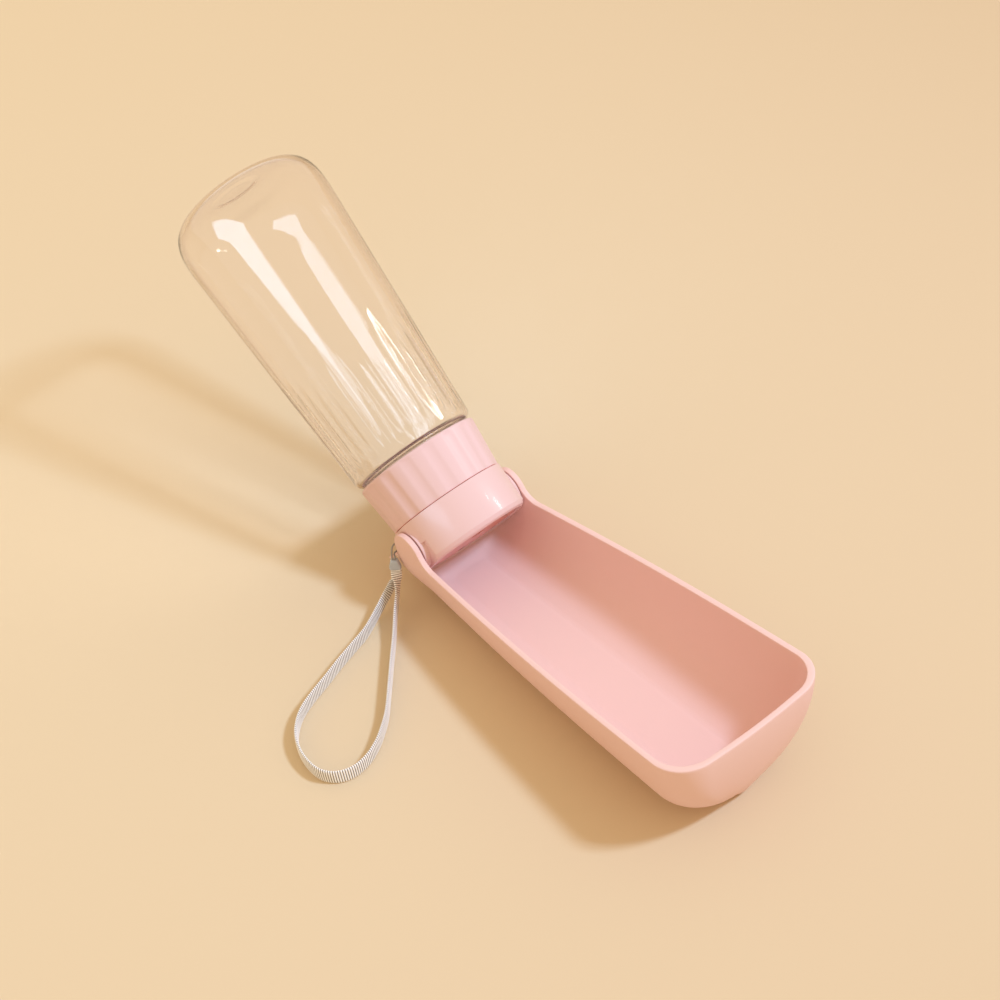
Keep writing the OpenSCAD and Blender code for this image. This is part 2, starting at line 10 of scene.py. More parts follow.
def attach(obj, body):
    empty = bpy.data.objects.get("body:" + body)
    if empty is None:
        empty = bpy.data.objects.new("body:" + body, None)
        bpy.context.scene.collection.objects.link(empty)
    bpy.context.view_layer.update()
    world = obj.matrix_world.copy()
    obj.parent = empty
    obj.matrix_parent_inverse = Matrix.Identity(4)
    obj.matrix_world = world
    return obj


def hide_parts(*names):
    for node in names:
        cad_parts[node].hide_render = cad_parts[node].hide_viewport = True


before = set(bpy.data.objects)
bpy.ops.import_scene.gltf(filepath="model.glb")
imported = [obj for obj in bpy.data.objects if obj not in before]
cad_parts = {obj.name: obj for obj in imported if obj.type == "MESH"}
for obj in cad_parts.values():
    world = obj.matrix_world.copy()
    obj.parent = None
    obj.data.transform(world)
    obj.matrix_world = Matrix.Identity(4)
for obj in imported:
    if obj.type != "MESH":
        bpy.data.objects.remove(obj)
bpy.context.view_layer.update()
MM = 0.001

# ---- Camera ----
# A long lens on a tripod looks down on the open bottle from beyond the strap, with the trough
# running away to the lower right.
SENSOR_WIDTH = 36.0
LENS_LENGTH = 79.2
NEAREST_SEEN = 50.0
CAMERA_PLACE = Vector((537.3, -340.3, 647.6))
CAMERA_RIGHT = Vector((0.63317, 0.76717, -0.10269))
CAMERA_UP = Vector((-0.48986, 0.49990, 0.71423))
CAMERA_BACK = Vector((0.59928, -0.40193, 0.69233))
camera_data = bpy.data.cameras.new("camera")
camera_data.sensor_width = SENSOR_WIDTH
camera_data.lens = LENS_LENGTH
camera_data.clip_start = NEAREST_SEEN * MM
camera = bpy.data.objects.new("camera", camera_data)
camera_turn = Matrix((CAMERA_RIGHT, CAMERA_UP, CAMERA_BACK)).transposed().to_4x4()
camera.matrix_world = Matrix.Translation(CAMERA_PLACE * MM) @ camera_turn
bpy.context.collection.objects.link(camera)
bpy.context.scene.camera = camera

# ---- Wrist strap ----
# Flat tubular braid of silver-grey polyester, woven in fine ribs across its width. Both ends are
# sewn into the clip, where the braid is narrower, and the loop stands on its edge on the floor.
STRAP_WIDTH = 6.6
STRAP_THICKNESS = 1.1
STRAP_END_SHARE = 0.6
STRAP_END_ROWS = 90
STRAP_AROUND = 28
STRAP_FLATTEN = 0.75
STRAP_SQUARE = 0.6
RIB_PITCH = 0.95
RIB_HEIGHT = 0.3
RIB_MIDDLE = 0.6
RIB_SLANT = 0.12
ROWS_PER_RIB = 6
CLIP_TURN = math.radians(48)
# From the clip down to the floor, round the loop and back up
STRAP_ROUTE = [
    (-7.96, -29.34, 18.2), (-7.96, -29.34, 15.8), (-8.2, -30.3, 12.8), (-8.2, -33, 9.4), (-7.2, -37.4, 6.6),
    (-4.6, -44, 4.4), (0, -53, 3.8), (3, -62, 3.7), (6, -71, 3.7), (9.4, -80, 3.7), (12.6, -89, 3.7),
    (16, -96.4, 3.7), (20.4, -102, 3.7), (26, -106.4, 3.7), (33, -109.2, 3.7), (40, -110.2, 3.7),
    (46.4, -109.4, 3.7), (51.4, -105.8, 3.7), (53.8, -100, 3.7), (53.2, -93, 3.7), (50.2, -86, 3.7),
    (45.6, -79.4, 3.7), (40, -73, 3.7), (30.4, -64.4, 3.7), (20.4, -55.6, 3.8), (11.4, -47.4, 4.4),
    (3.2, -40, 6.6), (-1.8, -34.8, 9.4), (-5.2, -31.6, 12.8), (-7.04, -30.16, 15.8), (-7.04, -30.16, 18.2),
]
# At each point of the route, how far the braid has turned from level to upright
STRAP_UPRIGHT = [0, 0.35, 0.8] + [1] * 25 + [0.8, 0.35, 0]


def smooth_route(points, spacing):
    """Points a spacing apart on a smooth curve through the given ones, each with its place among them."""
    per_span = 40
    points = [Vector(p) for p in points]
    dense = []
    for i in range(len(points) - 1):
        before = points[i - 1] if i else points[0] * 2 - points[1]
        after = points[i + 2] if i + 2 < len(points) else points[-1] * 2 - points[-2]
        start, end = points[i], points[i + 1]
        for k in range(per_span):
            t = k / per_span
            dense.append((0.5 * ((2 * start) + (end - before) * t
                                 + (2 * before - 5 * start + 4 * end - after) * t * t
                                 + (3 * start - before - 3 * end + after) * t ** 3), i + t))
    dense.append((points[-1].copy(), len(points) - 1.0))
    length = sum((dense[k + 1][0] - dense[k][0]).length for k in range(len(dense) - 1))
    steps = max(2, round(length / spacing))
    route = [dense[0]]
    walked = 0.0
    k = 0
    for n in range(1, steps):
        target = length * n / steps
        while walked + (dense[k + 1][0] - dense[k][0]).length < target:
            walked += (dense[k + 1][0] - dense[k][0]).length
            k += 1
        (here, at), (ahead, at_ahead) = dense[k], dense[k + 1]
        share = (target - walked) / (ahead - here).length
        route.append((here.lerp(ahead, share), at + (at_ahead - at) * share))
    route.append(dense[-1])
    return route, length


def shaped_grid(name, across, along, place, move=Matrix.Identity(4)):
    """A grid of faces with each corner moved to place(column, row) in millimetres, with its seams closed."""
    bm = bmesh.new()
    uv = bm.loops.layers.uv.new("UVMap")
    bmesh.ops.create_grid(bm, x_segments=across, y_segments=along, size=0.5)
    grid = {v: (round((v.co.x + 0.5) * across), round((v.co.y + 0.5) * along)) for v in bm.verts}
    for face in bm.faces:
        for loop in face.loops:
            column, row = grid[loop.vert]
            loop[uv].uv = (column / across, row / along)
    for v, (column, row) in grid.items():
        v.co = Vector(place(column, row)) * MM
    bmesh.ops.remove_doubles(bm, verts=bm.verts, dist=0.000002)
    bmesh.ops.dissolve_degenerate(bm, edges=bm.edges, dist=0.000001)
    bmesh.ops.transform(bm, matrix=move, verts=bm.verts)
    bmesh.ops.recalc_face_normals(bm, faces=bm.faces)
    for face in bm.faces:
        face.smooth = True
    mesh = bpy.data.meshes.new(name)
    bm.to_mesh(mesh)
    bm.free()
    piece = bpy.data.objects.new(name, mesh)
    bpy.context.collection.objects.link(piece)
    return piece


strap_path, strap_length = smooth_route(STRAP_ROUTE, RIB_PITCH / ROWS_PER_RIB)


def strap_across(at):
    """Direction of the braid's width: level at the clip and upright on the floor."""
    low = int(min(at, len(STRAP_UPRIGHT) - 2))
    upright = STRAP_UPRIGHT[low] + (STRAP_UPRIGHT[low + 1] - STRAP_UPRIGHT[low]) * (at - low)
    side = 1 if at < len(STRAP_ROUTE) / 2 else -1
    level = Vector((math.cos(CLIP_TURN), math.sin(CLIP_TURN), 0)) * side
    return level * (1 - upright) + Vector((0, 0, 1)) * upright


def strap_point(column, row):
    """A corner of the braid's ribbed skin, at that column round it and that row along it."""
    here, at = strap_path[row]
    ahead = strap_path[min(row + 1, len(strap_path) - 1)][0]
    behind = strap_path[max(row - 1, 0)][0]
    way = (ahead - behind).normalized()
    across = strap_across(at)
    side = (across - way * across.dot(way)).normalized()
    face = way.cross(side)
    angle = 2 * math.pi * (column % STRAP_AROUND) / STRAP_AROUND
    from_end = min(row, len(strap_path) - 1 - row)
    ends = min(1, STRAP_END_SHARE + (1 - STRAP_END_SHARE) * from_end / STRAP_END_ROWS)
    flat_way = math.copysign(abs(math.cos(angle)) ** STRAP_FLATTEN, math.cos(angle))
    thick_way = math.copysign(abs(math.sin(angle)) ** STRAP_SQUARE, math.sin(angle))
    phase = row / ROWS_PER_RIB + RIB_SLANT * math.cos(angle)
    rib = RIB_HEIGHT * (2 * ends - 1) * (abs(math.sin(math.pi * phase)) - RIB_MIDDLE)
    width = STRAP_WIDTH / 2 * ends + rib
    thickness = STRAP_THICKNESS / 2 + rib
    return here + side * (width * flat_way) + face * (thickness * thick_way)


strap = shaped_grid("wrist_strap", STRAP_AROUND, len(strap_path) - 1, strap_point)


def new_material(name):
    """A node material with its Principled shader, and a helper that adds and links nodes."""
    material = bpy.data.materials.new(name)
    material.use_nodes = True
    tree = material.node_tree
    shader = tree.nodes["Principled BSDF"]

    def add(kind, values=None, **settings):
        node = tree.nodes.new(kind)
        for key, value in settings.items():
            setattr(node, key, value)
        for socket, value in (values or {}).items():
            if isinstance(value, bpy.types.NodeSocket):
                tree.links.new(value, node.inputs[socket])
            else:
                node.inputs[socket].default_value = value
        return node

    return material, tree, shader, add


def braid_material():
    """Silvery polyester: pale ribs with painted shade in the gaps, fine fibres and a faint unevenness."""
    material, tree, shader, add = new_material("silver_braid")
    place = add("ShaderNodeTexCoord").outputs["Object"]
    split = add("ShaderNodeSeparateXYZ", {0: add("ShaderNodeUVMap", uv_map="UVMap").outputs["UV"]})
    ribs = add("ShaderNodeMath", {0: split.outputs["Y"], 1: (len(strap_path) - 1) / ROWS_PER_RIB},
               operation="MULTIPLY")
    turn = add("ShaderNodeMath", {0: split.outputs["X"], 1: 2 * math.pi}, operation="MULTIPLY")
    across = add("ShaderNodeMath", {0: turn.outputs[0]}, operation="COSINE")
    phase = add("ShaderNodeMath", {0: across.outputs[0], 1: RIB_SLANT, 2: ribs.outputs[0]},
                operation="MULTIPLY_ADD")
    wave = add("ShaderNodeMath", {0: phase.outputs[0], 1: math.pi}, operation="MULTIPLY")
    swing = add("ShaderNodeMath", {0: wave.outputs[0]}, operation="SINE")
    crest = add("ShaderNodeMath", {0: swing.outputs[0]}, operation="ABSOLUTE")
    fibre = add("ShaderNodeTexNoise", {"Vector": place, "Scale": 4200.0, "Detail": 2.0})
    uneven = add("ShaderNodeMath", {0: fibre.outputs[0], 1: 0.35, 2: crest.outputs[0]},
                 operation="MULTIPLY_ADD")
    # Painted shade: the colour runs from dark brown-grey in the gaps between the ribs to near white on their
    # crests
    gap_shade_ramp = add("ShaderNodeValToRGB", {0: uneven.outputs[0]})
    gap_shade_ramp.color_ramp.elements[0].position = 0.42
    gap_shade_ramp.color_ramp.elements[0].color = (0.13, 0.095, 0.08, 1)
    gap_shade_ramp.color_ramp.elements[1].position = 0.9
    gap_shade_ramp.color_ramp.elements[1].color = (1.0, 0.99, 0.98, 1)
    tree.links.new(gap_shade_ramp.outputs[0], shader.inputs["Base Color"])
    bump = add("ShaderNodeBump", {"Height": uneven.outputs[0], "Strength": 0.5, "Distance": 0.0002})
    tree.links.new(bump.outputs[0], shader.inputs["Normal"])
    shader.inputs["Roughness"].default_value = 0.4
    shader.inputs["Sheen Weight"].default_value = 0.3
    return material


strap.data.materials.append(braid_material())
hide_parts("strap_loop")
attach(strap, "trough")

# ---- Strap clip ----
# Flat tapered sleeve of grey plastic, crimped over the two ends of the braid and over the
# thread that ties it to the trough.
CLIP_PLACE = (-7.5, -29.75, 18.2)
CLIP_HEIGHT = 4.8
CLIP_TOP_HALF = 1.4
CLIP_LOW_HALF = 2.4
CLIP_HALF_THICKNESS = 1.3
CLIP_EDGE = 1.2
CLIP_GROOVE_AT = 0.25
CLIP_BOXINESS = 0.35
CLIP_AROUND = 32
# Share of the width and share of the height, from the foot up over the crimped groove to the top
CLIP_PROFILE = [
    (0.0, 0.0), (0.86, 0.0), (0.94, 0.02), (1.0, 0.08), (1.0, 0.2), (0.93, CLIP_GROOVE_AT), (1.0, 0.3),
    (1.0, 0.86), (0.97, 0.94), (0.86, 1.0), (0.0, 1.0),
]


def clip_point(column, row):
    """A corner of the sleeve, at that column round it and that row up it."""
    angle = 2 * math.pi * (column % CLIP_AROUND) / CLIP_AROUND
    grow, height = CLIP_PROFILE[row]
    tapered = max(0.0, min(1.0, (height - CLIP_GROOVE_AT) / (1 - CLIP_GROOVE_AT)))
    if grow:
        half = CLIP_LOW_HALF + (CLIP_TOP_HALF - CLIP_LOW_HALF) * tapered - (1 - grow) * CLIP_EDGE
        thick = CLIP_HALF_THICKNESS - (1 - grow) * CLIP_EDGE
    else:
        half = 0.0
        thick = 0.0
    x = math.copysign(abs(math.cos(angle)) ** CLIP_BOXINESS, math.cos(angle)) * half
    y = math.copysign(abs(math.sin(angle)) ** CLIP_BOXINESS, math.sin(angle)) * thick
    return (x, y, height * CLIP_HEIGHT)


clip_move = Matrix.Translation(Vector(CLIP_PLACE) * MM) @ Matrix.Rotation(CLIP_TURN, 4, "Z")
clip = shaped_grid("strap_clip_sleeve", CLIP_AROUND, len(CLIP_PROFILE) - 1, clip_point, clip_move)


def plastic_material(name, colour, shade, roughness, grain=0.02, coat=0.0):
    """Moulded plastic: a faint drift of colour, a roughness that wanders and a fine grain."""
    material, tree, shader, add = new_material(name)
    place = add("ShaderNodeTexCoord").outputs["Object"]
    cloud = add("ShaderNodeTexNoise", {"Vector": place, "Scale": 28.0, "Detail": 3.0, "Roughness": 0.55})
    tint = add("ShaderNodeMix", {"Factor": cloud.outputs[0], "A": (*colour, 1), "B": (*shade, 1)},
               data_type="RGBA")
    tree.links.new(tint.outputs["Result"], shader.inputs["Base Color"])
    speck = add("ShaderNodeTexNoise", {"Vector": place, "Scale": 900.0, "Detail": 3.0, "Roughness": 0.6})
    wander = add("ShaderNodeMapRange", {"Value": cloud.outputs[0], "To Min": roughness * 0.9,
                                        "To Max": roughness * 1.12})
    tree.links.new(wander.outputs["Result"], shader.inputs["Roughness"])
    bump = add("ShaderNodeBump", {"Height": speck.outputs[0], "Strength": grain, "Distance": 0.0002})
    tree.links.new(bump.outputs[0], shader.inputs["Normal"])
    shader.inputs["Coat Weight"].default_value = coat
    shader.inputs["Coat Roughness"].default_value = 0.08
    return material


clip.data.materials.append(plastic_material("grey_clip", (0.52, 0.58, 0.68), (0.47, 0.53, 0.62), 0.5, 0.12))
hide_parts("strap_clip")
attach(clip, "trough")

# ---- Strap thread ----
# Twisted polyester thread that goes through the wall behind the left ear and ties the clip on.
THREAD_ROUTE = [
    (-7.1, -29.4, 23), (-7.1, -29.4, 23.5), (-7.7, -29, 24.1), (-8.5, -28.6, 24.4), (-9.1, -27.9, 24.6),
    (-9.2, -27, 24.6), (-9.3, -26.2, 24.8), (-9.5, -25.75, 25.4), (-9.7, -25.65, 26.3), (-9.8, -25.75, 27.3),
    (-9.8, -26.3, 28.1), (-9.7, -27.1, 28.4), (-9.5, -28, 28.1), (-9.3, -28.7, 27.4), (-9, -29.2, 26.4),
    (-8.6, -29.7, 25.3), (-8.1, -30.1, 24.3), (-7.9, -30.2, 23.5), (-7.9, -30.2, 23),
]
THREAD_RADIUS = 0.36
THREAD_STEP = 0.12
THREAD_PLIES = 3
THREAD_CORE = 0.9
THREAD_PLY_SWELL = 0.14
THREAD_TWIST = 0.16
THREAD_SIDE = Vector((1, 0.2, 0.1))
THREAD_AROUND = 18
thread_path, _ = smooth_route(THREAD_ROUTE, THREAD_STEP)


def thread_point(column, row):
    """A corner of the twisted thread, at that column round it and that row along it."""
    here = thread_path[row][0]
    ahead = thread_path[min(row + 1, len(thread_path) - 1)][0]
    behind = thread_path[max(row - 1, 0)][0]
    way = (ahead - behind).normalized()
    side = (THREAD_SIDE - way * THREAD_SIDE.dot(way)).normalized()
    face = way.cross(side)
    angle = 2 * math.pi * (column % THREAD_AROUND) / THREAD_AROUND
    ply = abs(math.cos(THREAD_PLIES / 2 * (angle + row * THREAD_TWIST)))
    radius = THREAD_RADIUS * (THREAD_CORE + THREAD_PLY_SWELL * ply)
    return here + side * (radius * math.cos(angle)) + face * (radius * math.sin(angle))


thread = shaped_grid("strap_tie", THREAD_AROUND, len(thread_path) - 1, thread_point)
grey_thread = plastic_material("grey_thread", (0.36, 0.33, 0.3), (0.28, 0.26, 0.24), 0.6, 0.2)
thread.data.materials.append(grey_thread)
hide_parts("strap_thread")
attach(thread, "trough")

# ---- Trough ----
# Long drinking trough, moulded in satin pink plastic in one piece with its two ears. Its flat back
# lies on the floor, and its near end is round about the hinge.
LENGTH = 171.5
NEAR_AT = 8.0
HALF_NEAR = 27.9
HALF_FAR = 38.0
NEAR_DEPTH = 29.0
FAR_DEPTH = 46.5
RIM_DROP = 1.0
WALL = 2.5
FLOOR_THICKNESS = 2.2
NEAR_BARREL = 30.45
SIDE_BOW = 1.5
SECTION_CUT = 0.967
EAR_RADIUS = 8.8
EAR_INNER = 25.13
EAR_SPREAD = 7.5
SWEEP_RADIUS = 9.0
BACK_TOP = -15.0
CORNER_RADIUS = 15.0
CORNER_INSET = 0.6
CORNER_LIMIT = 0.8
LEAST_REACH = 2.0
FAR_BOW = 0.8
PLAN_POWER = 2.6
LEAN_POWER = 1.34
SLOPE = math.atan((FAR_DEPTH - NEAR_DEPTH) / LENGTH)
PIVOT = (RIM_DROP + NEAR_DEPTH) * math.cos(SLOPE)
sweep_x = math.sqrt((EAR_RADIUS + SWEEP_RADIUS) ** 2 - (SWEEP_RADIUS - RIM_DROP) ** 2)
outer_side = dict(inset=0.0, near=NEAR_DEPTH, far=FAR_DEPTH, barrel=NEAR_BARREL, power=2.2, lean=16.0)
inner_side = dict(inset=WALL, near=NEAR_DEPTH - FLOOR_THICKNESS, far=FAR_DEPTH - FLOOR_THICKNESS,
                  barrel=NEAR_BARREL - WALL, power=2.4, lean=14.0)


def half_width(x):
    """Half the width between the rim's straight sides, at that distance from the hinge."""
    return HALF_NEAR + (HALF_FAR - HALF_NEAR) * max(x - NEAR_AT, 0) / (LENGTH - NEAR_AT)


def bowed_half(x, corner_x):
    """The same with the long side's bow, which ends where the corner starts."""
    along = (x - NEAR_AT) / (corner_x - NEAR_AT)
    bow = SIDE_BOW * math.sin(math.pi * along) if NEAR_AT < x < corner_x else 0
    return half_width(x) + bow


def section(share, side):
    """Share of the rim's width that is left at that share of the depth."""
    return (1 - (max(share, 0) * SECTION_CUT) ** side["power"]) ** (1 / side["power"])


def depth_at(x, side):
    """Depth of the floor below the rim, which falls away from the hinge."""
    return side["near"] + (side["far"] - side["near"]) * x / LENGTH


def corner_of(share, side):
    """Far end at that share of the depth: where the end is, its corner's start and radius."""
    share = max(share, 0)
    lean = side["lean"] * (1 - (1 - min(share, 1) ** LEAN_POWER) ** (1 / LEAN_POWER))
    far_x = LENGTH - side["inset"] - lean
    room = (half_width(far_x) - side["inset"]) * section(share, side)
    radius = min(CORNER_RADIUS - side["inset"] * CORNER_INSET, room * CORNER_LIMIT)
    return far_x, far_x - radius, radius


def reach_of(share, side):
    """How far the near end's barrel reaches behind the hinge at that share of the depth."""
    below = RIM_DROP + max(share, 0) * side["near"]
    return math.sqrt(max(side["barrel"] ** 2 - below ** 2, LEAST_REACH ** 2))


def side_y(x, share, side):
    """Half width of the wall's face at a place along the trough."""
    narrow = section(share, side)
    if x < 0:
        inside = max(0, 1 - min(1, -x / reach_of(share, side)) ** PLAN_POWER)
        y = (half_width(0) - side["inset"]) * narrow * inside ** (1 / PLAN_POWER)
    else:
        y = (bowed_half(x, corner_of(share, side)[1]) - side["inset"]) * narrow
    return y


def station_point(station, share, side):
    """Place of a station of the outline, in the frame of the rim, at a share of the depth."""
    kind, t = station
    narrow = section(share, side)
    far_x, corner_x, radius = corner_of(share, side)
    tilt = math.atan((HALF_FAR - HALF_NEAR) / LENGTH)
    middle = (bowed_half(corner_x, corner_x) - side["inset"]) * narrow - radius / math.cos(tilt)
    if kind == "near":
        x = -reach_of(share, side) * max(math.cos(t), 0) ** (2 / PLAN_POWER)
        y = (half_width(0) - side["inset"]) * narrow * math.sin(t) ** (2 / PLAN_POWER)
    elif kind == "side":
        x = corner_x * t
        y = (bowed_half(x, corner_x) - side["inset"]) * narrow
    elif kind == "corner":
        angle = (math.pi / 2 + tilt) * (1 - t)
        x, y = corner_x + radius * math.cos(angle), middle + radius * math.sin(angle)
    else:
        x, y = far_x + FAR_BOW * (1 - (1 - t) ** 2), middle * (1 - t)
    return Vector((x, y, -RIM_DROP - share * depth_at(x, side)))


# The outline's stations run from the middle of the near end to the middle of the far end. Behind the
# hinge the top edge goes level round the near end, up a slope, round the ear and down a sweep to the rim.
EAR_END = math.radians(212)
SLOPE_POINTS = [(-21, BACK_TOP), (-19.6, -14.6), (-17.4, -12.6), (-14, -9.5), (-9.2, -5.9), (-7.6, -4.9)]
SLOPE_STEP = 0.9
NEAR_REACH = 27.6
NEAR_STEPS = 22
EAR_STEPS = 34
SWEEP_STEPS = 14
SIDE_STEPS = 34
CORNER_STEPS = 14
FAR_STEPS = 8
rim_corner_x = corner_of(0, outer_side)[1]


def near_angle(x):
    """Angle round the near end at which the rim is that far behind the hinge."""
    return math.acos(min(1, (-x / NEAR_REACH)) ** (PLAN_POWER / 2))


stations = []
tops = []
back_share = (-BACK_TOP - RIM_DROP) / NEAR_DEPTH
back_reach = reach_of(back_share, outer_side)
back_angle = math.acos(min(1, -SLOPE_POINTS[0][0] / back_reach) ** (PLAN_POWER / 2))
for n in range(NEAR_STEPS):
    stations.append(("near", back_angle * n / NEAR_STEPS))
    tops.append(None)
slope_route, _ = smooth_route([(x, z, 0) for x, z in SLOPE_POINTS], SLOPE_STEP)
for p, _ in slope_route[:-1]:
    stations.append(("near", near_angle(p.x)))
    tops.append((p.x, p.y, None))
ear_start = math.atan2(SWEEP_RADIUS - RIM_DROP, sweep_x)
for n in range(EAR_STEPS + 1):
    angle = EAR_END - (EAR_END - ear_start) * n / EAR_STEPS
    x, z = EAR_RADIUS * math.cos(angle), EAR_RADIUS * math.sin(angle)
    base_x = -EAR_SPREAD * (1 - (EAR_END - angle) / (EAR_END - math.pi / 2)) if x < 0 else x
    if base_x < 0:
        stations.append(("near", near_angle(min(base_x, -0.001))))
    else:
        stations.append(("side", base_x / rim_corner_x))
    tops.append((x, z, (-math.cos(angle), -math.sin(angle))))
sweep_start = math.atan2(-(SWEEP_RADIUS - RIM_DROP), -sweep_x)
for n in range(1, SWEEP_STEPS + 1):
    angle = sweep_start + (-math.pi / 2 - sweep_start) * n / SWEEP_STEPS
    x = sweep_x + SWEEP_RADIUS * math.cos(angle)
    z = SWEEP_RADIUS - RIM_DROP + SWEEP_RADIUS * math.sin(angle)
    stations.append(("side", x / rim_corner_x))
    tops.append((x, z, (math.cos(angle), math.sin(angle))))
side_start = sweep_x / rim_corner_x
for n in range(1, SIDE_STEPS):
    stations.append(("side", side_start + (1 - side_start) * n / SIDE_STEPS))
    tops.append(None)
for n in range(CORNER_STEPS):
    stations.append(("corner", n / CORNER_STEPS))
    tops.append(None)
for n in range(FAR_STEPS + 1):
    stations.append(("far", n / FAR_STEPS))
    tops.append(None)
station_count = len(stations)
# How far the ears' flat inner faces reach ahead of the hinge and below it, and over what lengths they
# fade into the curved wall there
EAR_FLAT_AHEAD = 12.0
EAR_FADE_LOW = 12.0
EAR_FADE_HEIGHT = 4.0
EAR_FADE_AHEAD = 14.0
EAR_FADE_LENGTH = 3.0


def top_point(i, side):
    """Top edge at a station, and the way that leads down into the wall from it."""
    station, top = stations[i], tops[i]
    if top is None:
        if station[0] == "near":
            share = (-BACK_TOP - RIM_DROP) / side["near"]
            p = station_point(station, share, side)
            return Vector((p.x, p.y, BACK_TOP)), Vector((0, 0, -1))
        return station_point(station, 0, side), Vector((0, 0, -1))
    x, z, down = top
    share = (-z - RIM_DROP) / depth_at(x, side)
    y = side_y(x, share, side)
    if side["inset"] and x < EAR_FLAT_AHEAD:
        y = max(y, EAR_INNER)
    if down is None:
        ahead, behind = tops[i + 1] or tops[i], tops[i - 1] or tops[i]
        along = Vector((ahead[0] - behind[0], 0, ahead[1] - behind[1])).normalized()
        return Vector((x, y, z)), Vector((along.z, 0, -along.x))
    return Vector((x, y, z)), Vector((down[0], 0, down[1]))


# Under the ears and the sweep the wall curves from its top edge into the trough's own section, over
# this share of its height
BLEND_END = 0.5
BLEND_PEEK = 0.02
BLEND_LEAVE = 0.9
BLEND_LEAVE_LONGEST = 9.0


def wall_point(i, w, side):
    """Face of the wall at a station: w runs from 0 at the top edge to 1 at the floor."""
    top, down = top_point(i, side)
    share_top = (-top.z - RIM_DROP) / depth_at(top.x, side)
    if tops[i] is None or w >= BLEND_END:
        share = share_top + (1 - share_top) * w
        return station_point(stations[i], share, side)
    share_end = share_top + (1 - share_top) * BLEND_END
    low = station_point(stations[i], share_end, side)
    below = station_point(stations[i], share_end + BLEND_PEEK, side)
    t = w / BLEND_END
    span = (low - top).length
    leave = down * min(span, BLEND_LEAVE_LONGEST) * BLEND_LEAVE
    arrive = (below - low).normalized() * span
    h1, h2 = 2 * t ** 3 - 3 * t ** 2 + 1, t ** 3 - 2 * t ** 2 + t
    h3, h4 = -2 * t ** 3 + 3 * t ** 2, t ** 3 - t ** 2
    x = h1 * top.x + h2 * leave.x + h3 * low.x + h4 * arrive.x
    z = h1 * top.z + h2 * leave.z + h3 * low.z + h4 * arrive.z
    share = (-z - RIM_DROP) / depth_at(x, side)
    y = side_y(x, share, side)
    if side["inset"]:
        above = max(0.0, min(1.0, (z + EAR_FADE_LOW) / EAR_FADE_HEIGHT))
        behind = max(0.0, min(1.0, (EAR_FADE_AHEAD - x) / EAR_FADE_LENGTH))
        y = max(y, EAR_INNER * above * behind)
    return Vector((x, y, z))


# Rows of the skin: shares of the wall's height and of the floor's width, and of the rim's thickness
# with how far each point of its rounded edge lies below the top
WALL_ROWS = [1, 0.985, 0.955, 0.91, 0.86, 0.8, 0.73, 0.66, 0.59, 0.52, 0.46, 0.4, 0.34, 0.28, 0.225, 0.175,
             0.13, 0.09, 0.06, 0.035]
FLOOR_ROWS = [0, 0.35, 0.7, 0.92]
RIM_ROWS = [(0, 0.5), (0.03, 0.22), (0.09, 0.07), (0.18, 0), (0.5, -0.04), (0.82, 0), (0.92, 0.06),
            (0.97, 0.2), (1, 0.45)]
trough_rows = [("floor", f, outer_side) for f in FLOOR_ROWS]
trough_rows += [("wall", w, outer_side) for w in WALL_ROWS]
trough_rows += [("rim", r, None) for r in RIM_ROWS]
trough_rows += [("wall", w, inner_side) for w in reversed(WALL_ROWS)]
trough_rows += [("floor", f, inner_side) for f in reversed(FLOOR_ROWS)]
SPINE_FROM = 4.0
SPINE_CLEAR = 12.0


def trough_point(column, row):
    """A corner of the trough's skin: the column goes round the outline, the row over wall and rim."""
    i = column if column < station_count else 2 * (station_count - 1) - column
    hand = 1 if column < station_count else -1
    kind, value, side = trough_rows[row]
    if kind == "wall":
        p = wall_point(i, value, side)
    elif kind == "floor":
        p = wall_point(i, 1, side)
        centre = max(SPINE_FROM, min(p.x, corner_of(1, side)[0] - SPINE_CLEAR))
        x = centre + (p.x - centre) * value
        p = Vector((x, p.y * value, -RIM_DROP - depth_at(x, side)))
    else:
        share, drop = value
        out_top, down = top_point(i, outer_side)
        in_top, _ = top_point(i, inner_side)
        p = out_top.lerp(in_top, share) + down * drop
    return Vector((p.x, hand * p.y, p.z))


rim_place = Matrix.Translation((0, 0, PIVOT * MM)) @ Matrix.Rotation(-SLOPE, 4, "Y")
trough = shaped_grid("drinking_trough", 2 * (station_count - 1), len(trough_rows) - 1, trough_point,
                     rim_place)
satin_pink = plastic_material("satin_pink", (0.84, 0.575, 0.525), (0.825, 0.56, 0.51), 0.5, 0.05)
satin_pink.node_tree.nodes["Principled BSDF"].inputs["Specular IOR Level"].default_value = 0.2
trough.data.materials.append(satin_pink)
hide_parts("trough")
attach(trough, "trough")

# ---- Head ----
# Glossy pink moulding that turns on the trough's two pins. Its deck carries the drinking
# valve, and its sides drop to a deep chamfered skirt. Every edge of the mould is eased.
LEAN = math.radians(53.0263)
HEAD_EDGE = 0.2
HEAD_SHARP = 18
bottle_place = Matrix.Translation((0, 0, PIVOT * MM)) @ Matrix.Rotation(-LEAN, 4, "Y")


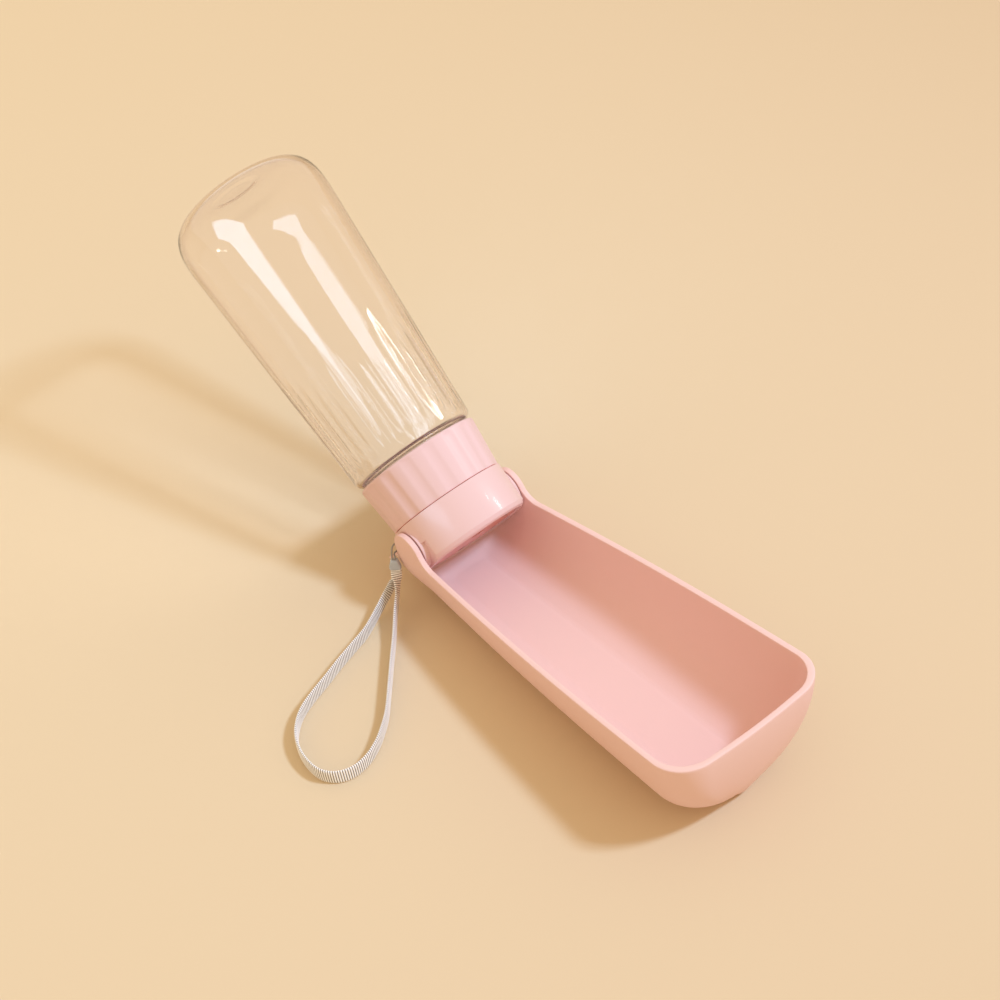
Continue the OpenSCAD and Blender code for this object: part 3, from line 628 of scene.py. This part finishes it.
def eased_copy(node, name, width, sharp):
    """A copy of a node with its triangles joined, and its edges sharper than an angle rounded to a width."""
    joined_within = 0.000004
    flat_within = math.radians(0.6)
    bm = bmesh.new()
    bm.from_mesh(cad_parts[node].data)
    bmesh.ops.remove_doubles(bm, verts=bm.verts, dist=joined_within)
    bmesh.ops.dissolve_degenerate(bm, edges=bm.edges, dist=joined_within)
    bmesh.ops.dissolve_limit(bm, angle_limit=flat_within, verts=bm.verts, edges=bm.edges)
    edges = [e for e in bm.edges if e.is_manifold and abs(e.calc_face_angle()) > math.radians(sharp)]
    bmesh.ops.bevel(bm, geom=edges, offset=width * MM, offset_type="OFFSET", segments=3, profile=0.5,
                    affect="EDGES", clamp_overlap=True, material=-1)
    bmesh.ops.recalc_face_normals(bm, faces=bm.faces)
    for face in bm.faces:
        face.smooth = True
    mesh = bpy.data.meshes.new(name)
    bm.to_mesh(mesh)
    bm.free()
    mesh.set_sharp_from_angle(angle=math.radians(35))
    piece = bpy.data.objects.new(name, mesh)
    bpy.context.collection.objects.link(piece)
    return piece


head = eased_copy("head_shell", "head_moulding", HEAD_EDGE, HEAD_SHARP)
gloss_pink = plastic_material("gloss_pink", (0.775, 0.535, 0.52), (0.76, 0.52, 0.505), 0.32, 0.015, 0.15)
head.data.materials.append(gloss_pink)
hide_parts("head_shell")
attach(head, "head")

# ---- Collar ----
# Pink grip ring of the bottle, pressed over the socket of the drinking valve. Sixteen shallow
# flutes run up it and fade into a bright rounded lip.
COLLAR_LOW = 10.4
COLLAR_TOP = 31.6
SEAM_LIP = 0.28
COLLAR_LOW_RADIUS = 25.0
COLLAR_TOP_RADIUS = 27.0
CORE_RADIUS = 23.05
FLUTES = 16
FLUTE_DEPTH = 0.5
FLUTE_CUTTER = 11.0
FLUTE_SOFT = 0.06
FLUTES_END = 20.6
FLUTES_FADE = 0.7
COLUMNS_PER_FLUTE = 16
STRAIGHT_FROM = 0.32
STRAIGHT_TO = 20.2
STRAIGHT_ROWS = 16
collar_around = FLUTES * COLUMNS_PER_FLUTE
flute_phase = math.pi / FLUTES
# Offset from the tapered side and height above the foot, up the outer face. The ends lie on the bore.
collar_rise = (STRAIGHT_TO - STRAIGHT_FROM) / STRAIGHT_ROWS
collar_foot = [(-0.9, -SEAM_LIP), (-0.14, -SEAM_LIP), (-0.05, 0.04 - SEAM_LIP), (0.0, 0.14 - SEAM_LIP)]
collar_side = [(0.0, STRAIGHT_FROM + collar_rise * n) for n in range(STRAIGHT_ROWS + 1)]
collar_lip = [(-0.04, 20.5), (-0.14, 20.78), (-0.32, 21.02), (-0.56, 21.16), (-0.85, 21.2), (-2.0, 21.2)]
collar_rows = [(None, -SEAM_LIP), *collar_foot, *collar_side, *collar_lip, (None, 21.2), (None, -SEAM_LIP)]


def collar_point(column, row):
    """A corner of the ring at that column round it, on the bore where the row has no offset."""
    angle = 2 * math.pi * (column % collar_around) / collar_around
    out, s = collar_rows[row]
    if out is None:
        return (CORE_RADIUS * math.cos(angle), CORE_RADIUS * math.sin(angle), COLLAR_LOW + s)
    base = COLLAR_LOW_RADIUS + (COLLAR_TOP_RADIUS - COLLAR_LOW_RADIUS) * s / (COLLAR_TOP - COLLAR_LOW)
    off = (angle - flute_phase) % (2 * math.pi / FLUTES)
    off = min(off, 2 * math.pi / FLUTES - off)
    centre = base + FLUTE_CUTTER - FLUTE_DEPTH
    inside = FLUTE_CUTTER ** 2 - (centre * math.sin(off)) ** 2
    cut = centre * math.cos(off) - math.sqrt(inside) if inside > 0 else base + 1
    fade = max(0.0, min(1.0, (FLUTES_END - s) / FLUTES_FADE))
    ridge = 0.5 * (base + cut - math.sqrt((base - cut) ** 2 + FLUTE_SOFT ** 2))
    radius = base + (ridge - base) * fade + out
    return (radius * math.cos(angle), radius * math.sin(angle), COLLAR_LOW + s)


collar = shaped_grid("collar_ring", collar_around, len(collar_rows) - 1, collar_point, bottle_place)
collar_pink = plastic_material("collar_pink", (0.77, 0.535, 0.525), (0.755, 0.52, 0.51), 0.38, 0.03)
# Painted shade: a deeper red-pink for the short lip hidden in the seam between collar and head
painted_seam_shade = plastic_material("painted_seam_shade", (0.8, 0.3, 0.24), (0.76, 0.28, 0.22), 0.5, 0.02)
collar.data.materials.append(collar_pink)
collar.data.materials.append(painted_seam_shade)
# The short lip below the foot lies in the seam and is painted a deeper red-pink as the seam's shade
seam_top = (COLLAR_LOW - 0.02) * MM
to_bottle = bottle_place.inverted()
for face in collar.data.polygons:
    face.material_index = int((to_bottle @ face.center).z < seam_top)
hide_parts("collar_shell")
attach(collar, "collar")

# ---- Bottle ----
# Clear bottle blown in one thin wall, with a ringed neck, soft facets that rise from its shoulder
# and fade to a trace before the middle, and a shallow round foot in its domed end.
NECK_BOTTOM = 14.6
NECK_RADIUS = 19.3
NECK_INNER = 17.3
NECK_FILLET = 0.8
NECK_STEP = 0.4
RING_HEIGHT = 0.9
RINGS_AT = (23.8, 22.9, 18.8, 17.9)
NECK_HEIGHTS = (32.5, 32.0, 24.4, 23.8, 22.9, 22.3, 21.6, 19.4, 18.8, 17.9, 17.3, 15.2, NECK_BOTTOM)
SHOULDER_AT = 32.5
SHOULDER_ROUND = 3.4
LOW_RADIUS = 27.5
BODY_RADIUS = 33.6
CROWN_AT = 143.0
BOTTLE_END = 165.0
BOTTLE_WALL = 1.3
CROWN_POWER = 3.4
CROWN_STEPS = 40
BODY_STEPS = 32
SHOULDER_STEPS = 9
FACETS = 36
FACET_DEPTH = 0.34
FACETS_FROM = 36.4
FACETS_FULL = 44.0
FACETS_FADE = 64.0
FACETS_END = 88.0
FACET_TRACE = 0.06
FACET_TOP_FADE = 12.0
FACET_COLUMNS = 10
FOOT_RADIUS = 11.0
FOOT_DEPTH = 0.5
FOOT_EDGE = 1.2
bottle_around = FACETS * FACET_COLUMNS


def eased(share):
    """A share held between 0 and 1 that leaves and arrives softly."""
    share = max(0.0, min(1.0, share))
    return share * share * (3 - 2 * share)


def bottle_profile(wall):
    """Radius and height from the middle of the domed end to the neck's foot, inside the given wall."""
    points = []
    for n in range(CROWN_STEPS + 1):
        angle = math.pi / 2 * (1 - n / CROWN_STEPS)
        r = (BODY_RADIUS - wall) * max(math.cos(angle), 0) ** (2 / CROWN_POWER)
        s = CROWN_AT + (BOTTLE_END - CROWN_AT - wall) * math.sin(angle) ** (2 / CROWN_POWER)
        points.append((r, s - FOOT_DEPTH * eased((FOOT_RADIUS - r) / FOOT_EDGE + 0.5)))
    low = SHOULDER_AT + SHOULDER_ROUND
    for n in range(1, BODY_STEPS + 1):
        share = n / BODY_STEPS
        r = BODY_RADIUS + (LOW_RADIUS - BODY_RADIUS) * share - wall
        points.append((r, CROWN_AT + (low - CROWN_AT) * share))
    for n in range(1, SHOULDER_STEPS + 1):
        angle = -math.pi / 2 * n / SHOULDER_STEPS
        r = LOW_RADIUS - SHOULDER_ROUND + (SHOULDER_ROUND - wall) * math.cos(angle)
        points.append((r, low + (SHOULDER_ROUND - wall) * math.sin(angle)))
    return points


outer_line = bottle_profile(0) + [(NECK_RADIUS + NECK_FILLET, SHOULDER_AT)]
for s in NECK_HEIGHTS:
    ring = RING_HEIGHT if s in RINGS_AT else 0
    outer_line.append((NECK_RADIUS + ring, s))
inner_line = [(NECK_INNER, NECK_BOTTOM), (NECK_INNER, SHOULDER_AT + BOTTLE_WALL - NECK_STEP)]
inner_line += reversed(bottle_profile(BOTTLE_WALL))
bottle_rows = [(r, s, 1.0) for r, s in outer_line] + [(r, s, 0.0) for r, s in inner_line]


def bottle_point(column, row):
    """A corner of the wall at that column round it, hollowed between the facets' ridges on the outside."""
    r, s, share = bottle_rows[row]
    angle = 2 * math.pi * (column % bottle_around) / bottle_around
    start = eased((s - FACETS_FROM) / (FACETS_FULL - FACETS_FROM))
    end = FACET_TRACE + (1 - FACET_TRACE) * eased((FACETS_END - s) / (FACETS_END - FACETS_FADE))
    crown = max(0.0, min(1.0, (CROWN_AT - s) / FACET_TOP_FADE))
    within = (column % FACET_COLUMNS) / (FACET_COLUMNS / 2) - 1
    depth = FACET_DEPTH * start * end * crown * share * within * within
    return ((r - depth) * math.cos(angle), (r - depth) * math.sin(angle), s)


bottle = shaped_grid("clear_bottle", bottle_around, len(bottle_rows) - 1, bottle_point, bottle_place)


def clear_material(name, roughness, grazing_tint, stain, density, shadow_edge, edge_width):
    """Clear plastic: bends light, stains in its depth, and lets the lamps shine through to the floor."""
    material, tree, shader, add = new_material(name)
    place = add("ShaderNodeTexCoord").outputs["Object"]
    ripple = add("ShaderNodeTexNoise", {"Vector": place, "Scale": 42.0, "Detail": 1.0})
    bump = add("ShaderNodeBump", {"Height": ripple.outputs[0], "Strength": 0.04, "Distance": 0.001})
    tree.links.new(bump.outputs[0], shader.inputs["Normal"])
    smear = add("ShaderNodeMapRange", {"Value": ripple.outputs[0], "To Min": roughness * 0.8,
                                       "To Max": roughness * 1.3})
    tree.links.new(smear.outputs["Result"], shader.inputs["Roughness"])
    grazing = add("ShaderNodeLayerWeight", {"Blend": 0.1})
    rim = add("ShaderNodeMapRange", {"Value": grazing.outputs["Facing"], "From Min": 0.18, "From Max": 0.5})
    tint = add("ShaderNodeMix", {"Factor": rim.outputs["Result"], "A": (1, 1, 1, 1), "B": (*grazing_tint, 1)},
               data_type="RGBA")
    tree.links.new(tint.outputs["Result"], shader.inputs["Base Color"])
    shader.inputs["Transmission Weight"].default_value = 1
    shader.inputs["IOR"].default_value = 1.5
    stretch = add("ShaderNodeMapping", {"Vector": add("ShaderNodeUVMap", uv_map="UVMap").outputs["UV"],
                                        "Scale": (18.0, 1.6, 1.0)})
    streak = add("ShaderNodeTexNoise", {"Vector": stretch.outputs[0], "Scale": 1.0, "Detail": 3.0})
    glow = add("ShaderNodeMapRange", {"Value": streak.outputs[0], "From Min": 0.36, "From Max": 0.64,
                                      "To Min": 0.88, "To Max": 1.14})
    bright = add("ShaderNodeVectorMath", {0: (1, 1, 1), "Scale": glow.outputs["Result"]}, operation="SCALE")
    facing = add("ShaderNodeLayerWeight", {"Blend": edge_width})
    through = add("ShaderNodeMix", {"Factor": facing.outputs["Facing"], "A": bright.outputs[0],
                                    "B": (*shadow_edge, 1)}, data_type="RGBA")
    clear = add("ShaderNodeBsdfTransparent", {"Color": through.outputs["Result"]})
    path = add("ShaderNodeLightPath")
    mixed = add("ShaderNodeMixShader", {0: path.outputs["Is Shadow Ray"], 1: shader.outputs[0],
                                        2: clear.outputs[0]})
    output = tree.nodes["Material Output"]
    tree.links.new(mixed.outputs[0], output.inputs["Surface"])
    absorb = add("ShaderNodeVolumeAbsorption")
    absorb.inputs["Color"].default_value = (*stain, 1)
    absorb.inputs["Density"].default_value = density
    tree.links.new(absorb.outputs[0], output.inputs["Volume"])
    return material


clear_plastic = clear_material("clear_plastic", roughness=0.012, grazing_tint=(0.42, 0.27, 0.36),
                               stain=(0.8, 0.58, 0.5), density=60, shadow_edge=(0.33, 0.25, 0.18),
                               edge_width=0.2)
bottle.data.materials.append(clear_plastic)
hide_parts("bottle")
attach(bottle, "bottle")

# ---- Drinking valve ----
# The rotary valve inside the head and the collar: deep pink plate, core and neck gasket, a milky
# silicone disc and port seal, rubber rings and washers, and the steel screws, pins and clip.
deep_pink = plastic_material("deep_pink", (0.72, 0.33, 0.29), (0.69, 0.31, 0.27), 0.35, 0.03)
steel = plastic_material("bright_steel", (0.62, 0.61, 0.6), (0.55, 0.54, 0.53), 0.22, 0.05)
steel.node_tree.nodes["Principled BSDF"].inputs["Metallic"].default_value = 1
rubber = plastic_material("dark_rubber", (0.035, 0.035, 0.037), (0.05, 0.05, 0.052), 0.6, 0.1)
milky = plastic_material("milky_silicone", (0.8, 0.74, 0.7), (0.74, 0.68, 0.64), 0.38, 0.03)
milky.node_tree.nodes["Principled BSDF"].inputs["Subsurface Weight"].default_value = 0.3
milky.node_tree.nodes["Principled BSDF"].inputs["Subsurface Radius"].default_value = (0.004, 0.003, 0.002)
VALVE_FINISH = {
    "outlet_plate": deep_pink, "neck_gasket": deep_pink, "collar_core": deep_pink, "valve_disc": milky,
    "port_seal": milky, "hub_o_ring": rubber, "hinge_washer_left": rubber, "hinge_washer_right": rubber,
    "air_valve": rubber, "retaining_ring": steel, "stop_pin": steel, "outlet_screws": steel,
    "hinge_pin_left": steel, "hinge_pin_right": steel,
}
for node, finish in VALVE_FINISH.items():
    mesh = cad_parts[node].data
    mesh.materials.clear()
    mesh.materials.append(finish)

# ---- Floor and light ----
# Wide matt table top in warm cream in a pale room, painted darker towards the key lamp's corner as painted
# shade that evens out the lamp's falloff. A cool key lamp casts the shadow. A window and two small lamps,
# which light no matt surface, show in the gloss.
TABLE_HALF_WIDTH = 3000.0
LAMPS_FACE = Vector((30, 0, 40))
floor_mesh = bpy.data.meshes.new("table_top")
bm = bmesh.new()
bmesh.ops.create_grid(bm, x_segments=1, y_segments=1, size=TABLE_HALF_WIDTH * MM)
bm.to_mesh(floor_mesh)
bm.free()
floor = bpy.data.objects.new("table_top", floor_mesh)
bpy.context.collection.objects.link(floor)
material, tree, shader, add = new_material("cream_paper")
place = add("ShaderNodeTexCoord").outputs["Object"]
drift = add("ShaderNodeTexNoise", {"Vector": place, "Scale": 1.6, "Detail": 1.0})
across = add("ShaderNodeSeparateXYZ", {0: place})
# Painted shade: the cream darkens towards the key lamp, where its light falls strongest
toward_key_lamp = add("ShaderNodeMath", {0: across.outputs["X"], 1: across.outputs["Y"]}, operation="ADD")
fade = add("ShaderNodeMapRange", {"Value": toward_key_lamp.outputs[0], "From Min": 0.424, "From Max": -0.566,
                                  "To Min": -0.03, "To Max": 0.97})
share = add("ShaderNodeMath", {0: drift.outputs[0], 1: 0.06, 2: fade.outputs["Result"]},
            operation="MULTIPLY_ADD")
tint = add("ShaderNodeMix", {"Factor": share.outputs[0], "A": (0.665, 0.507, 0.328, 1),
                             "B": (0.818, 0.684, 0.477, 1)}, data_type="RGBA")
tree.links.new(tint.outputs["Result"], shader.inputs["Base Color"])
shader.inputs["Roughness"].default_value = 0.85
shader.inputs["Specular IOR Level"].default_value = 0.2
floor.data.materials.append(material)


def softbox(name, toward, distance, size, power, face=None, roll=0.0):
    """A soft lamp that many metres from the bottle, turned to the bottle or to another place."""
    data = bpy.data.lights.new(name, "AREA")
    data.shape = "RECTANGLE"
    data.size, data.size_y = size
    data.energy = power
    lamp = bpy.data.objects.new(name, data)
    place = LAMPS_FACE * MM + Vector(toward).normalized() * distance
    back = place - Vector(face) * MM if face else Vector(toward)
    lamp.matrix_world = (Matrix.Translation(place) @ back.to_track_quat("Z", "Y").to_matrix().to_4x4()
                         @ Matrix.Rotation(math.radians(roll), 4, "Z"))
    bpy.context.collection.objects.link(lamp)
    return lamp


key = softbox("key", (0.5125, 0.3522, 0.783), 1.2, (0.14, 0.16), 14.3, face=(-900, -100, 500))
key.data.color = (0.5, 0.7, 1.0)
key.visible_glossy = False
key.visible_transmission = False
glint = softbox("glint", (0.331, 0.807, 0.489), 1.2, (0.11, 0.12), 1.4)
glint.visible_diffuse = False
spark = softbox("spark", (0.341, 0.677, 0.652), 1.2, (0.08, 0.05), 0.4)
spark.visible_diffuse = False
window = softbox("window", (0.0635, -0.8256, 0.5606), 1.6, (1.126, 0.431), 7.8, roll=32)
window.data.color = (0.52, 0.73, 1.0)
window.visible_diffuse = False
world = bpy.data.worlds.new("pale_room")
bpy.context.scene.world = world
world.use_nodes = True
nodes, links = world.node_tree.nodes, world.node_tree.links
room = nodes["Background"]
room.inputs["Color"].default_value = (0.92, 0.735, 0.515, 1)
seen = nodes.new("ShaderNodeBackground")
seen.inputs["Color"].default_value = (0.9, 0.73, 0.55, 1)
ray = nodes.new("ShaderNodeLightPath")
either = nodes.new("ShaderNodeMath")
either.operation = "MAXIMUM"
links.new(ray.outputs["Is Glossy Ray"], either.inputs[0])
links.new(ray.outputs["Is Transmission Ray"], either.inputs[1])
mixed = nodes.new("ShaderNodeMixShader")
links.new(either.outputs[0], mixed.inputs[0])
links.new(room.outputs[0], mixed.inputs[1])
links.new(seen.outputs[0], mixed.inputs[2])
links.new(mixed.outputs[0], nodes["World Output"].inputs["Surface"])
bpy.context.scene.view_settings.view_transform = "Standard"
bpy.context.scene.cycles.max_bounces = 24
bpy.context.scene.cycles.transmission_bounces = 24
bpy.context.scene.cycles.transparent_max_bounces = 16
bpy.context.scene.cycles.caustics_reflective = False
